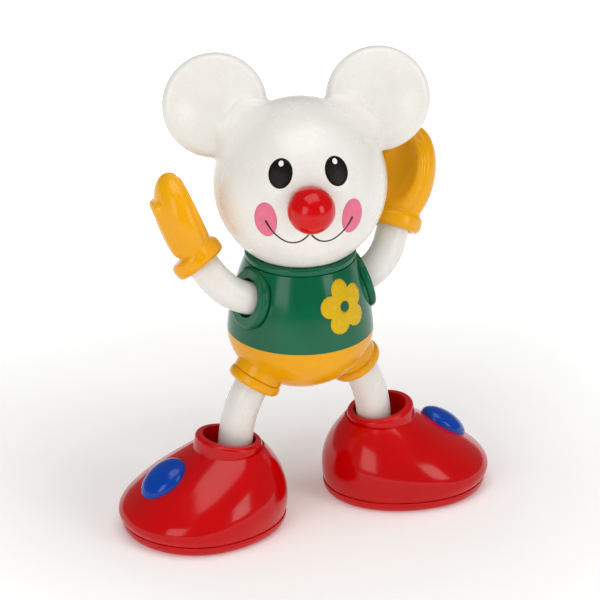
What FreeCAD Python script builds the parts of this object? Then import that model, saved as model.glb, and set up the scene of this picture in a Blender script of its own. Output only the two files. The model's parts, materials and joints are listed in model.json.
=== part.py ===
"""Clockwork mouse: a jointed plastic toy mouse with a spring movement in its body.

Millimetres, +Z up, the mouse faces -Y and stands on z = 0 with its body axis on x = y = 0.
"left" is the mouse's own left, which is +X.
"""
import FreeCAD, Part
import math
import os
import re
import Sketcher
from FreeCAD import Placement, Rotation, Vector

doc = FreeCAD.newDocument("clockwork_mouse")

# Driving sizes in mm and degrees. Everything else is worked out from these.
SIZES = {
    # shells and fits
    "wall": 1.8, "fit": 0.05, "split_y": -4.0,
    # body of revolution: shorts below the waist, shirt above it
    "waist_height": 72.7, "waist_radius": 27.4, "shorts_drop": 22.3, "spigot_rise": 1.4,
    "shirt_top": 101.2, "shirt_top_radius": 20.8, "shirt_bulge_radius": 95.0,
    "neck_wall_top": 97.4, "neck_wall_bottom": 95.6,
    "collar_radius": 20.9, "collar_bore": 18.9, "collar_height": 3.0,
    # head, turned a little to the mouse's right
    "head_height": 130.6, "head_radius": 32.25, "head_turn": -18.5,
    "ear_across": 30.4, "ear_back": 13.0, "ear_up": 27.0, "ear_radius": 19.6,
    "ear_half_thickness": 3.6, "ear_lean": 17.0, "ear_dish_radius": 24.0, "ear_dish_depth": 4.4,
    "nose_radius": 8.8, "nose_forward": 35.5, "nose_up": 4.0, "nose_stem_radius": 3.0,
    "spindle_radius": 4.0, "spindle_tail_radius": 2.6,
    # arms
    "shoulder_across": 18.0, "shoulder_height": 88.3, "shoulder_rise": 16.0, "shoulder_forward": 5.0,
    "arm_radius": 6.1, "arm_journal_radius": 5.0, "shoulder_wall": 3.0, "arm_flange_radius": 7.0,
    "arm_flange": 2.0, "arm_bend_radius": 21.0, "arm_bend": 52.0, "arm_reach": 9.0,
    "left_arm_back": 28.0, "right_arm_back": 40.0,
    "sleeve_ring_radius": 11.7, "sleeve_ring_width": 3.4, "sleeve_ring_bore": 7.4,
    "sleeve_boss_radius": 12.4,
    # gloves
    "glove_length": 38.0, "glove_width": 23.0, "glove_thickness": 17.0, "glove_foot": 3.0,
    "left_glove_lean": 20.0, "left_glove_back": 13.0, "left_palm_turn": 35.0,
    "right_glove_lean": 15.0, "right_glove_back": 16.0, "right_palm_turn": 15.0,
    "glove_cuff_radius": 9.7, "glove_cuff_bore": 6.7,
    "wrist_pin_radius": 3.2, "wrist_head_radius": 4.0, "glove_dish_depth": 5.0,
    # legs
    "hip_across": 16.4, "hip_height": 62.5, "hip_splay": 32.0, "leg_radius": 6.5,
    "leg_journal_radius": 5.2, "hip_wall": 3.0, "hip_cap_radius": 7.6, "hip_cap": 1.8,
    "leg_bend_radius": 45.0, "leg_bend_start": 10.5,
    "leg_cuff_radius": 10.2, "leg_cuff_width": 4.2, "leg_cuff_bore": 7.6,
    "hip_boss_radius": 9.6, "hip_boss_length": 6.0,
    # shoes
    "ankle_floor": 23.0, "ankle_floor_thickness": 2.5, "ankle_pin_radius": 4.6, "ankle_cap_radius": 7.5,
    "ankle_cap": 2.0, "shoe_toe": 44.7, "shoe_heel": 19.3, "shoe_half_width": 28.5, "shoe_widest": 16.5,
    "shoe_widest_height": 10.0, "shoe_shoulder_height": 30.5, "sole_height": 4.2,
    "shoe_collar_radius": 13.3, "shoe_collar_bore": 10.0, "shoe_collar_offset": 2.5,
    "shoe_collar_rim": 34.5, "shoe_collar_lean": 9.0, "shoe_wall": 2.2,
    "button_length": 20.0, "button_width": 16.6, "button_rise": 4.7, "button_forward": 29.5,
    "button_height": 21.8, "button_slope": 37.0,
    # spring movement, its arbors running front to back
    "plate_front": 5.0, "plate_gap": 9.5, "plate_thickness": 1.0, "plate_half_width": 13.5,
    "plate_bottom": 61.5, "plate_top": 91.0, "winding_height": 79.0, "gear_module": 0.5,
    "great_teeth": 40, "second_pinion_teeth": 10, "second_teeth": 32, "third_pinion_teeth": 8,
    "third_teeth": 24, "escape_pinion_teeth": 8, "escape_teeth": 12, "escape_radius": 4.4,
    "ratchet_teeth": 12, "ratchet_radius": 3.6, "wheel_thickness": 1.0, "arbor_radius": 0.8,
    "winding_arbor_radius": 1.3, "spring_radius": 8.4, "spring_strip": 0.3, "spring_width": 3.8,
    "spring_turns": 5, "pillar_radius": 1.3, "crank_radius": 2.2, "crank_throw": 1.1,
    "key_reach": 42.5, "key_loop_radius": 4.1, "key_thickness": 2.2,
    "screw_radius": 1.0, "screw_head_radius": 1.9,
}

sheet = doc.addObject("Spreadsheet::Sheet", "dims")
for row, (alias, number) in enumerate(SIZES.items(), start=1):
    sheet.set(f"A{row}", alias.replace("_", " "))
    sheet.set(f"B{row}", str(number))
    sheet.setAlias(f"B{row}", alias)
doc.recompute()

ORIGIN = Vector(0, 0, 0)
UP = Vector(0, 0, 1)
BACK = Vector(0, 1, 0)
SIDES = {"left": 1, "right": -1}
gauge = doc.addObject("Part::Vertex", "gauge")
nodes = {}


def linked(formula):
    """The formula with each cell's name made a reference into the sheet."""
    return re.sub(r"[a-z_]+", lambda word: "dims." + word[0] if word[0] in SIZES else word[0], formula)


def value(formula):
    """What a formula over the sheet's cells comes to."""
    gauge.setExpression("X", linked(formula))
    gauge.recompute()
    return gauge.X.Value


def keep(obj, label):
    """Make obj a finished piece called label."""
    obj.Label = label
    nodes[label] = obj
    return obj


def frame(at, along, side=Vector(1, 0, 0)):
    """A placement at a point, its own Z along one direction and its own X towards another."""
    along = Vector(along).normalize()
    across = (side - along * side.dot(along)).normalize()
    return Placement(Vector(at), Rotation(across, along.cross(across), along, "ZXY"))


def shifted(place, x=0.0, y=0.0, z=0.0):
    """The placement moved along its own axes."""
    return place.multiply(Placement(Vector(x, y, z), Rotation()))


def primitive(kind, name, at=Placement(), **links):
    """A Part primitive, each property bound to a formula over the sheet."""
    obj = doc.addObject("Part::" + kind, name)
    for prop, formula in links.items():
        obj.setExpression(prop, linked(formula))
    obj.Placement = at
    return obj


def fuse(name, *shapes):
    obj = doc.addObject("Part::MultiFuse", name)
    obj.Shapes = list(shapes)
    return obj


def common(name, *shapes):
    obj = doc.addObject("Part::MultiCommon", name)
    obj.Shapes = list(shapes)
    return obj


def cut(name, base, *tools):
    obj = doc.addObject("Part::Cut", name)
    obj.Base = base
    obj.Tool = tools[0] if len(tools) == 1 else fuse(name + "_tools", *tools)
    return obj


def shaped(name, shape, at=Placement()):
    """A form that needs Part's own functions."""
    obj = doc.addObject("Part::Feature", name)
    obj.Shape = shape
    obj.Placement = at
    return obj


def new_sketch(body, name, role):
    """A sketch on one of the body's own origin planes."""
    sketch = body.newObject("Sketcher::SketchObject", name)
    plane = next(f for f in body.Origin.OriginFeatures if f.Role == role)
    sketch.AttachmentSupport = [(plane, "")]
    sketch.MapMode = "FlatFace"
    return sketch


def pin_point(sketch, edge, across, up):
    """Bind the start of an edge to two formulas."""
    for kind, formula in (("DistanceX", across), ("DistanceY", up)):
        rule = Sketcher.Constraint(kind, -1, 1, edge, 1, value(formula))
        sketch.setExpression(f"Constraints[{sketch.addConstraint(rule)}]", linked(formula))


def draw_outline(sketch, corners):
    """Close an outline through corners (across, up), each a formula over the sheet.

    A corner's third entry is the radius of the arc that leads to it, bulging outwards
    when the outline runs anticlockwise.
    """
    points = [Vector(value(corner[0]), value(corner[1]), 0) for corner in corners]
    count = len(points)
    for index, point in enumerate(points):
        following = points[(index + 1) % count]
        arrival = corners[(index + 1) % count]
        if len(arrival) == 3:
            chord = following - point
            radius = value(arrival[2])
            sagitta = radius - math.sqrt(radius ** 2 - (chord.Length / 2) ** 2)
            outward = Vector(chord.y, -chord.x, 0).normalize()
            crown = (point + following) / 2 + outward * sagitta
            sketch.addGeometry(Part.Arc(point, crown, following))
            rule = Sketcher.Constraint("Radius", index, radius)
            sketch.setExpression(f"Constraints[{sketch.addConstraint(rule)}]", linked(arrival[2]))
        else:
            sketch.addGeometry(Part.LineSegment(point, following))
    for index, corner in enumerate(corners):
        sketch.addConstraint(Sketcher.Constraint("Coincident", index, 2, (index + 1) % count, 1))
        pin_point(sketch, index, corner[0], corner[1])


def turned(name, corners, at=Placement()):
    """A body turned about its own Z from an anticlockwise outline of (radius, height) corners."""
    body = doc.addObject("PartDesign::Body", name)
    sketch = new_sketch(body, name + "_profile", "XZ_Plane")
    draw_outline(sketch, corners)
    revolution = body.newObject("PartDesign::Revolution", name + "_turn")
    revolution.Profile = sketch
    revolution.ReferenceAxis = (sketch, ["V_Axis"])
    revolution.Angle = 360
    body.Placement = at
    return body


def padded(name, corners, length, at=Placement()):
    """A body padded along its own Z from an outline in its XY plane."""
    body = doc.addObject("PartDesign::Body", name)
    sketch = new_sketch(body, name + "_outline", "XY_Plane")
    draw_outline(sketch, corners)
    pad = body.newObject("PartDesign::Pad", name + "_pad")
    pad.Profile = sketch
    pad.setExpression("Length", linked(length))
    body.Placement = at
    return body


def rod(name, at, radius, length):
    return primitive("Cylinder", name, at, Radius=radius, Height=length)


def ring(name, at, outer, inner, height):
    """A flat ring standing on its placement."""
    return turned(name, [(inner, "0"), (outer, "0"), (outer, height), (inner, height)], at)


def hem(name, at, outer, inner, height, lip):
    """A ring whose outer corners are rounded by quarter circles of radius lip."""
    corners = [
        (inner, "0"),
        (f"{outer} - {lip}", "0"),
        (outer, lip, lip),
        (outer, f"{height} - {lip}"),
        (f"{outer} - {lip}", height, lip),
        (inner, height),
    ]
    return turned(name, corners, at)


def screw(name, at, length, radius="screw_radius", head="screw_head_radius"):
    """A pan-headed screw: its placement is under the head, its own Z along the shank."""
    corners = [
        ("0", "-1.2"),
        (f"{head} - 0.5", "-1.2"),
        (head, "-0.7", "0.5"),
        (head, "0"),
        (radius, "0"),
        (radius, f"{length} - 0.8"),
        ("0", length),
    ]
    return turned(name, corners, at)


# ---------------------------------------------------------------- body shells
def torso_outline(inset, floor, top):
    """The shirt's outer or inner line from the waist up, as corners of a closed profile."""
    return [
        ("0", floor),
        (f"waist_radius - {inset}", floor),
        (f"shirt_top_radius - {inset}", top, "shirt_bulge_radius"),
        ("0", top),
    ]


shoulder_frames = {}
for side, sign in SIDES.items():
    rise = math.radians(value("shoulder_rise"))
    forward = math.radians(value("shoulder_forward"))
    outward = Vector(sign * math.cos(forward), -math.sin(forward), 0)
    root = Vector(sign * value("shoulder_across"), value("split_y"), value("shoulder_height"))
    along = outward * math.cos(rise) + UP * math.sin(rise)
    over = UP * math.cos(rise) - outward * math.sin(rise)
    shoulder_frames[side] = frame(root, along, over)

hip_frames = {}
for side, sign in SIDES.items():
    splay = math.radians(value("hip_splay"))
    root = Vector(sign * value("hip_across"), value("split_y"), value("hip_height"))
    along = Vector(sign * math.sin(splay), 0, -math.cos(splay))
    inward = Vector(-sign * math.cos(splay), 0, -math.sin(splay))
    hip_frames[side] = frame(root, along, inward)

shirt_skin = turned("shirt_skin", torso_outline("0", "waist_height", "shirt_top"))
shirt_room = turned(
    "shirt_room",
    [
        ("0", "waist_height - 1"),
        ("waist_radius - wall", "waist_height - 1"),
        ("waist_radius - wall", "waist_height"),
        ("shirt_top_radius + 1.4 - wall", "neck_wall_bottom", "shirt_bulge_radius"),
        ("0", "neck_wall_bottom"),
    ],
)
collar_room = rod(
    "collar_room",
    Placement(Vector(0, 0, value("neck_wall_top")), Rotation()),
    "shirt_top_radius - wall",
    "shirt_top - neck_wall_top + 1",
)
neck_bore = rod("neck_bore", Placement(), "spindle_radius + fit", "shirt_top")
shirt_shell = cut("shirt_shell", shirt_skin, shirt_room, collar_room, neck_bore)

sleeve_bosses = []
sleeve_seats = []
sleeve_bores = []
for side, place in shoulder_frames.items():
    sleeve_bosses.append(
        primitive(
            "Cone",
            "sleeve_boss_" + side,
            place,
            Radius1="sleeve_boss_radius + 0.6",
            Radius2="sleeve_ring_radius",
            Height="shoulder_wall",
        )
    )
    seat = shifted(place, z=value("shoulder_wall"))
    sleeve_seats.append(rod("sleeve_seat_" + side, seat, "sleeve_ring_radius + fit", "12"))
    sleeve_bores.append(
        rod("sleeve_bore_" + side, shifted(place, z=-2), "arm_journal_radius + fit", "12")
    )
boss_spots = {"left": Vector(19, 0, 77), "right": Vector(-19, 0, 77)}
shirt_posts = []
shirt_pilots = []
for side, spot in boss_spots.items():
    start = frame(Vector(spot.x, -15, spot.z), BACK)
    shirt_posts.append(rod("shirt_post_" + side, start, "2 * screw_radius + 1", "31"))
    shirt_pilots.append(rod("shirt_pilot_" + side, shifted(start, z=3), "screw_radius + fit", "40"))
screw_wells = []
for side, spot in boss_spots.items():
    well = frame(Vector(spot.x, 10, spot.z), BACK)
    screw_wells.append(rod("shirt_well_" + side, well, "screw_head_radius + 0.3", "20"))
mount_spots = {"left": Vector(11.5, 0, 78.2), "right": Vector(-11.5, 0, 76.6)}
mount_posts = []
mount_bores = []
mount_wells = []
for side, spot in mount_spots.items():
    start = frame(Vector(spot.x, value("plate_front + plate_gap + 2 * plate_thickness"), spot.z), BACK)
    mount_posts.append(rod("mount_post_" + side, start, "2 * screw_radius + 0.8", "8"))
    mount_bores.append(rod("mount_bore_" + side, start, "screw_radius + fit", "14"))
    mount_wells.append(rod("mount_well_" + side, shifted(start, z=3), "screw_head_radius + 0.3", "14"))
posts = common(
    "posts_inside",
    fuse("posts", *shirt_posts, *mount_posts),
    turned("shirt_fill", torso_outline("0.4", "waist_height + spigot_rise + 0.2", "shirt_top")),
)
key_bore = rod(
    "key_bore",
    frame(Vector(0, 15, value("winding_height")), BACK),
    "winding_arbor_radius + 1.2",
    "20",
)
shirt_solid = cut(
    "shirt_solid",
    fuse("shirt_with_bosses", shirt_shell, posts, *sleeve_bosses),
    *sleeve_seats,
    *sleeve_bores,
    *shirt_pilots,
    *screw_wells,
    *mount_bores,
    *mount_wells,
    key_bore,
)
front_half = primitive(
    "Box",
    "front_half",
    Placement(Vector(-60, value("split_y") - 60, 40), Rotation()),
    Length="120",
    Width="60",
    Height="80",
)
back_half = primitive(
    "Box",
    "back_half",
    Placement(Vector(-60, value("split_y"), 40), Rotation()),
    Length="120",
    Width="60",
    Height="80",
)
keep(common("front_shirt", shirt_solid, front_half), "shirt_front_shell")
keep(common("back_shirt", shirt_solid, back_half), "shirt_back_shell")
keep(
    hem(
        "collar",
        Placement(Vector(0, 0, value("shirt_top")), Rotation()),
        "collar_radius",
        "collar_bore",
        "collar_height",
        "1.0",
    ),
    "collar_ring",
)
for side, place in shoulder_frames.items():
    seat = shifted(place, z=value("shoulder_wall"))
    keep(
        hem("sleeve_" + side, seat, "sleeve_ring_radius", "sleeve_ring_bore", "sleeve_ring_width", "1.4"),
        "sleeve_ring_" + side,
    )

# ---------------------------------------------------------------- shorts and leg cuffs
waist = Placement(Vector(0, 0, value("waist_height")), Rotation())
bowl_limits = {"Angle1": "-90", "Angle2": "0"}
shorts_skin = primitive(
    "Ellipsoid", "shorts_skin", waist, Radius1="shorts_drop", Radius2="waist_radius", **bowl_limits
)
shorts_room = primitive(
    "Ellipsoid",
    "shorts_room",
    waist,
    Radius1="shorts_drop - wall",
    Radius2="waist_radius - wall",
    **bowl_limits,
)
spigot = turned(
    "spigot",
    [
        ("waist_radius - wall - 1.4", "-2.4"),
        ("waist_radius - wall / 2", "-2.4"),
        ("waist_radius - wall / 2", "0"),
        ("waist_radius - wall - 0.25", "0"),
        ("waist_radius - wall - 0.25", "spigot_rise"),
        ("waist_radius - wall - 1.4", "spigot_rise"),
    ],
    waist,
)
hip_bosses = []
hip_cuts = []
for side, place in hip_frames.items():
    hip_bosses.append(rod("hip_boss_" + side, place, "hip_boss_radius", "hip_boss_length"))
    seat = shifted(place, z=value("hip_boss_length"))
    hip_cuts.append(rod("cuff_seat_" + side, seat, "leg_cuff_radius + fit", "12"))
    hip_cuts.append(rod("hip_bore_" + side, shifted(place, z=-2), "leg_journal_radius + fit", "12"))
    throat = shifted(place, z=value("hip_wall"))
    hip_cuts.append(rod("hip_throat_" + side, throat, "leg_cuff_bore", "12"))
    cuff = hem("cuff_" + side, seat, "leg_cuff_radius", "leg_cuff_bore", "leg_cuff_width", "1.7")
    keep(cuff, "leg_cuff_" + side)
shorts_bowl = cut("shorts_bowl", shorts_skin, shorts_room)
shorts_body = fuse("shorts_body", shorts_bowl, spigot, *hip_bosses)
keep(cut("shorts", shorts_body, *hip_cuts), "shorts_shell")

# ---------------------------------------------------------------- head
head_axis = Placement(ORIGIN, Rotation(UP, value("head_turn")))
head_frame = shifted(head_axis, z=value("head_height"))
lean = math.radians(value("ear_lean"))
ear_facing = Vector(0, -math.cos(lean), math.sin(lean))


def on_head(place):
    return head_frame.multiply(place)


ears = []
for side, sign in SIDES.items():
    middle = Vector(sign * value("ear_across"), value("ear_back"), value("ear_up"))
    place = on_head(frame(middle, ear_facing))
    thick = "ear_half_thickness"
    disc = turned(
        "ear_disc_" + side,
        [
            ("0", f"-{thick}"),
            (f"ear_radius - {thick}", f"-{thick}"),
            ("ear_radius", "0", thick),
            (f"ear_radius - {thick}", thick, thick),
            ("0", thick),
        ],
        place,
    )
    deep = shifted(place, z=value("ear_half_thickness + ear_dish_radius - ear_dish_depth"))
    dish = primitive("Sphere", "ear_dish_" + side, deep, Radius="ear_dish_radius")
    ears.append(cut("ear_" + side, disc, dish))
head_skin = fuse("head_skin", primitive("Sphere", "skull", head_frame, Radius="head_radius"), *ears)
head_room = primitive("Sphere", "head_room", head_frame, Radius="head_radius - wall")
spindle_bore = rod("spindle_bore", head_axis, "spindle_radius + fit", "head_height")
nose_facing = on_head(frame(Vector(0, -value("nose_forward"), value("nose_up")), Vector(0, 1, 0)))
nose_ball = primitive("Sphere", "nose_ball", nose_facing, Radius="nose_radius")
nose_stem = rod("nose_stem", nose_facing, "nose_stem_radius", "nose_radius + 3")
nose = keep(fuse("nose_piece", nose_ball, nose_stem), "nose")
head_shell = cut("head_shell", head_skin, head_room, spindle_bore, nose)
# the skull parts just behind the ears' dishes
ear_plane = on_head(frame(Vector(0, value("ear_back"), value("ear_up")), ear_facing))
parting = shifted(ear_plane, z=-1.7)
for label, depth in (("head_front_shell", 0), ("head_back_shell", -90)):
    half = primitive(
        "Box", label + "_space", shifted(parting, -70, -110, depth), Length="140", Width="200", Height="90"
    )
    keep(common(label + "_cut", head_shell, half), label)
keep(
    turned(
        "spindle",
        [
            ("0", "neck_wall_bottom - 4.6"),
            ("spindle_tail_radius", "neck_wall_bottom - 4.6"),
            ("spindle_tail_radius", "neck_wall_bottom - 0.1"),
            ("spindle_radius", "neck_wall_bottom - 0.1"),
            ("spindle_radius", "neck_wall_top + 3.9"),
            ("2 * spindle_radius", "neck_wall_top + 3.9"),
            ("2 * spindle_radius", "neck_wall_top + 5.6"),
            ("0", "neck_wall_top + 5.6"),
        ],
        head_axis,
    ),
    "neck_spindle",
)
clip_seat = shifted(head_axis, z=value("neck_wall_bottom - fit - 1.8"))
keep(ring("clip", clip_seat, "7", "spindle_tail_radius", "1.75"), "neck_clip")
lever_hub = turned(
    "lever_hub",
    [
        ("0", "neck_wall_bottom - 5.4"),
        ("4.6", "neck_wall_bottom - 5.4"),
        ("4.6", "neck_wall_bottom - 2"),
        ("spindle_tail_radius", "neck_wall_bottom - 2"),
        ("spindle_tail_radius", "neck_wall_bottom - 4.6"),
        ("0", "neck_wall_bottom - 4.6"),
    ],
    head_axis,
)
crank_height = "winding_height - gear_module * (great_teeth + second_pinion_teeth) / 2"
blade_foot = value(crank_height + " - 3")
blade = primitive(
    "Box",
    "lever_blade",
    shifted(head_axis, -2, 1.4, blade_foot),
    Length="4",
    Width="1.2",
    Height=f"neck_wall_bottom - 5 - ({crank_height} - 3)",
)
slot = primitive(
    "Box", "lever_slot", shifted(head_axis, -0.8, 0, blade_foot + 1), Length="1.6", Width="4", Height="4.2"
)
keep(cut("lever", fuse("lever_blank", lever_hub, blade), slot), "neck_lever")

# ---------------------------------------------------------------- arms and gloves
wrist_frames = {}
glove_turns = {}
for side, sign in SIDES.items():
    root = shoulder_frames[side]
    rolled = root.multiply(Placement(ORIGIN, Rotation(UP, -sign * value(side + "_arm_back"))))
    bend = math.radians(value("arm_bend"))
    radius = value("arm_bend_radius")
    start = value("shoulder_wall") + 1.0
    tube = rod("arm_root_" + side, shifted(rolled, z=value("shoulder_wall + fit")), "arm_radius", "1")
    elbow = rolled.multiply(
        Placement(Vector(radius, 0, start), Rotation(Vector(-1, 0, 0), UP, BACK, "ZXY"))
    )
    arc = primitive(
        "Torus", "arm_arc_" + side, elbow, Radius1="arm_bend_radius", Radius2="arm_radius", Angle3="arm_bend"
    )
    end = Vector(radius * (1 - math.cos(bend)), 0, start + radius * math.sin(bend))
    past_bend = rolled.multiply(Placement(end, Rotation(BACK, value("arm_bend"))))
    reach = rod("arm_reach_" + side, past_bend, "arm_radius", "arm_reach")
    wrist = shifted(past_bend, z=value("arm_reach"))
    wrist_frames[side] = wrist
    flange = rod("arm_flange_" + side, shifted(rolled, z=-2.05), "arm_flange_radius", "arm_flange")
    inner_end = shifted(rolled, z=-0.1)
    journal = rod("arm_journal_" + side, inner_end, "arm_journal_radius", "shoulder_wall + 0.4")
    pin = turned(
        "wrist_pin_" + side,
        [
            ("0", "-1"),
            ("wrist_pin_radius", "-1"),
            ("wrist_pin_radius", "3"),
            ("wrist_head_radius", "3"),
            ("wrist_head_radius", "3.8"),
            ("wrist_pin_radius", "4.8"),
            ("0", "4.8"),
        ],
        wrist,
    )
    keep(fuse("arm_parts_" + side, flange, journal, tube, arc, reach, pin), "arm_" + side)

    outward = math.radians(value(side + "_glove_lean"))
    backward = math.radians(value(side + "_glove_back"))
    turn = math.radians(value(side + "_palm_turn"))
    along = Vector(sign * math.tan(outward), math.tan(backward), 1)
    palm = Vector(-sign * math.cos(turn), -math.sin(turn), 0)
    hand = frame(wrist.Base, along, palm)
    glove_turns[side] = hand
    mitten = primitive(
        "Ellipsoid",
        "mitten_" + side,
        shifted(hand, z=value("glove_length / 2 - glove_foot")),
        Radius1="glove_length / 2",
        Radius2="glove_thickness / 2",
        Radius3="glove_width / 2",
    )
    palm_dish = primitive(
        "Ellipsoid",
        "palm_dish_" + side,
        shifted(hand, x=value("glove_thickness / 2 + 1.5"), z=value("glove_length / 2 + 1")),
        Radius1="glove_length / 2 - 5",
        Radius2="glove_dish_depth + 1.5",
        Radius3="glove_width / 2 - 2.8",
    )
    rolled_cuff = turned(
        "rolled_cuff_" + side,
        [
            ("glove_cuff_bore", "-3.8"),
            ("glove_cuff_radius - 2", "-3.8"),
            ("glove_cuff_radius", "-1.8", "2"),
            ("glove_cuff_radius", "0"),
            ("glove_cuff_radius - 2.2", "2.4", "2.4"),
            ("0", "3"),
            ("0", "fit"),
            ("glove_cuff_bore", "fit"),
        ],
        wrist,
    )
    pocket = turned(
        "wrist_pocket_" + side,
        [
            ("0", "0"),
            ("wrist_pin_radius + fit", "0"),
            ("wrist_pin_radius + fit", "2.9"),
            ("wrist_head_radius + fit", "2.9"),
            ("wrist_head_radius + fit", "4.9"),
            ("0", "4.9"),
        ],
        wrist,
    )
    mouth = rod("glove_mouth_" + side, shifted(wrist, z=-8), "glove_cuff_radius + 4", "8.05")
    upper = cut("mitten_trimmed_" + side, mitten, mouth)
    glove_solid = fuse("glove_solid_" + side, upper, rolled_cuff)
    keep(cut("glove_cut_" + side, glove_solid, palm_dish, pocket), "glove_" + side)

# ---------------------------------------------------------------- legs
ankle_frames = {}
for side, sign in SIDES.items():
    root = hip_frames[side]
    splay = math.radians(value("hip_splay"))
    radius = value("leg_bend_radius")
    start = value("leg_bend_start")
    inner_end = shifted(root, z=-value("hip_cap + fit"))
    cap = ring("hip_ring_" + side, inner_end, "hip_cap_radius", "leg_journal_radius", "hip_cap")
    keep(cap, "hip_cap_" + side)
    journal = rod("leg_journal_" + side, inner_end, "leg_journal_radius", "hip_cap + hip_wall + 0.4")
    shoulder = shifted(root, z=value("hip_wall + fit"))
    thigh = rod("thigh_" + side, shoulder, "leg_radius", "leg_bend_start - hip_wall - fit")
    knee = root.multiply(Placement(Vector(radius, 0, start), Rotation(Vector(-1, 0, 0), UP, BACK, "ZXY")))
    arc = primitive(
        "Torus", "leg_arc_" + side, knee, Radius1="leg_bend_radius", Radius2="leg_radius", Angle3="hip_splay"
    )
    reach = radius * (1 - math.cos(splay))
    foot_top = root.multVec(Vector(reach, 0, start + radius * math.sin(splay)))
    ankle = Vector(foot_top.x, foot_top.y, 0)
    turn = Rotation(UP, 0 if sign > 0 else 180)
    ankle_frames[side] = Placement(ankle, turn)
    shin_foot = value("ankle_floor + fit")
    shin_at = Placement(ankle + UP * shin_foot, Rotation())
    shin = primitive("Cylinder", "shin_" + side, shin_at, Radius="leg_radius")
    shin.Height = foot_top.z - shin_foot
    pin_foot = value("ankle_floor - ankle_floor_thickness - fit - ankle_cap")
    seat = Placement(ankle + UP * pin_foot, Rotation())
    pin = primitive("Cylinder", "ankle_pin_" + side, seat, Radius="ankle_pin_radius")
    pin.Height = shin_foot - pin_foot + 1
    keep(fuse("leg_parts_" + side, journal, thigh, arc, shin, pin), "leg_" + side)
    cap = ring("ankle_ring_" + side, seat, "ankle_cap_radius", "ankle_pin_radius", "ankle_cap")
    keep(cap, "ankle_cap_" + side)


# ---------------------------------------------------------------- shoes
def egg(level, widest, toe, heel, half_width):
    """An egg-shaped outline at one level: two half ellipses that meet at its widest point."""
    halves = []
    for reach, start in ((toe - widest, -90), (widest + heel, 90)):
        stretch = FreeCAD.Matrix()
        stretch.scale(reach, half_width, 1)
        half = Part.makeCircle(1, ORIGIN, UP, start, start + 180).transformGeometry(stretch)
        half.translate(Vector(widest, 0, level))
        halves.append(half)
    return Part.Wire(halves)


def shoe_outline(rise, inset):
    """The upper's outline part of the way up: 0 at its widest level, 1 under the collar."""
    offset, collar = value("shoe_collar_offset"), value("shoe_collar_radius")
    toe = offset + collar + (value("shoe_toe") - offset - collar) * (1 - rise ** 1.25)
    heel = collar - offset + (value("shoe_heel") - collar + offset) * (1 - rise ** 2.2)
    half_width = collar + (value("shoe_half_width") - collar) * (1 - rise ** 1.6)
    widest = offset + (value("shoe_widest") - offset) * (1 - rise)
    low, high = value("shoe_widest_height"), value("shoe_shoulder_height")
    return egg(low + (high - low) * rise, widest, toe - inset, heel - inset, half_width - inset)


def base_outline(level, inset):
    """An outline below the widest level, drawn in from the full size."""
    return egg(
        level,
        value("shoe_widest"),
        value("shoe_toe") - inset,
        value("shoe_heel") - inset,
        value("shoe_half_width") - inset,
    )


seam = value("sole_height")
wall = value("shoe_wall")
rises = (0.0, 0.2, 0.4, 0.6, 0.8, 1.0)
outer_wires = [base_outline(seam, 0.9)] + [shoe_outline(rise, 0) for rise in rises]
inner_wires = [base_outline(seam - 0.2, 0.9 + wall)] + [shoe_outline(rise, wall) for rise in rises[:-1]]
upper_form = Part.makeLoft(outer_wires, True, False)
upper_room = Part.makeLoft(inner_wires, True, False)
sole_wires = [base_outline(0, 3.2), base_outline(1.4, 1.2), base_outline(seam, 0.5)]
sole_form = Part.makeLoft(sole_wires, True, False)
sole_screw_spots = ((-11, 0), (25, 13), (25, -13))
skin = shaped("upper_form", upper_form)
room = shaped("upper_room", upper_room)
middle = Placement(Vector(value("shoe_collar_offset"), 0, 0), Rotation())
rim = shifted(middle, z=value("shoe_collar_rim")).multiply(
    Placement(ORIGIN, Rotation(BACK, -value("shoe_collar_lean")))
)
shoe_collar = turned(
    "shoe_collar",
    [
        ("0", "-8"),
        ("shoe_collar_radius", "-8"),
        ("shoe_collar_radius", "-6.6"),
        ("shoe_collar_radius - 0.5", "-6"),
        ("shoe_collar_radius - 0.5", "-1.4"),
        ("shoe_collar_radius - 1.9", "0", "1.4"),
        ("0", "0"),
    ],
    rim,
)
floor = value("ankle_floor - ankle_floor_thickness")
cup = rod("ankle_cup", shifted(middle, z=floor), "shoe_collar_bore + 2", "9")
sole_posts = []
sole_pilots = []
sole_holes = []
sole_screws = []
for index, spot in enumerate(sole_screw_spots):
    under = Placement(Vector(*spot, 0), Rotation())
    sole_posts.append(rod(f"sole_post_{index}", shifted(under, z=seam), "3.2", "16"))
    sole_pilots.append(rod(f"sole_pilot_{index}", shifted(under, z=seam - 1), "screw_radius + fit", "9"))
    sole_holes.append(rod(f"sole_hole_{index}", shifted(under, z=-1), "screw_radius + fit", "8"))
    sole_holes.append(rod(f"sole_well_{index}", shifted(under, z=-1), "screw_head_radius + 0.2", "2.8"))
    sole_screws.append(screw(f"sole_screw_{index}", shifted(under, z=1.8), "9"))
inside = common("shoe_inside", fuse("posts_and_cup", cup, *sole_posts), skin)
shell = fuse("shoe_shell", cut("shoe_hollow", skin, room), inside, shoe_collar)
throat = rod("shoe_throat", shifted(middle, z=value("ankle_floor")), "shoe_collar_bore", "20")
bore = rod("ankle_bore", Placement(Vector(0, 0, floor - 1), Rotation()), "ankle_pin_radius + fit", "6")
button_seat = Placement(
    Vector(value("button_forward"), 0, value("button_height")), Rotation(BACK, value("button_slope"))
)
dome = primitive(
    "Ellipsoid",
    "button_dome",
    button_seat,
    Radius1="button_rise",
    Radius2="button_length / 2",
    Radius3="button_width / 2",
    Angle1="-12",
    Angle2="90",
)
button = fuse("button", dome, rod("button_stem", shifted(button_seat, z=-5), "2.5", "5"))
screw_group = doc.addObject("Part::Compound", "sole_screw_group")
screw_group.Links = sole_screws
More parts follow.
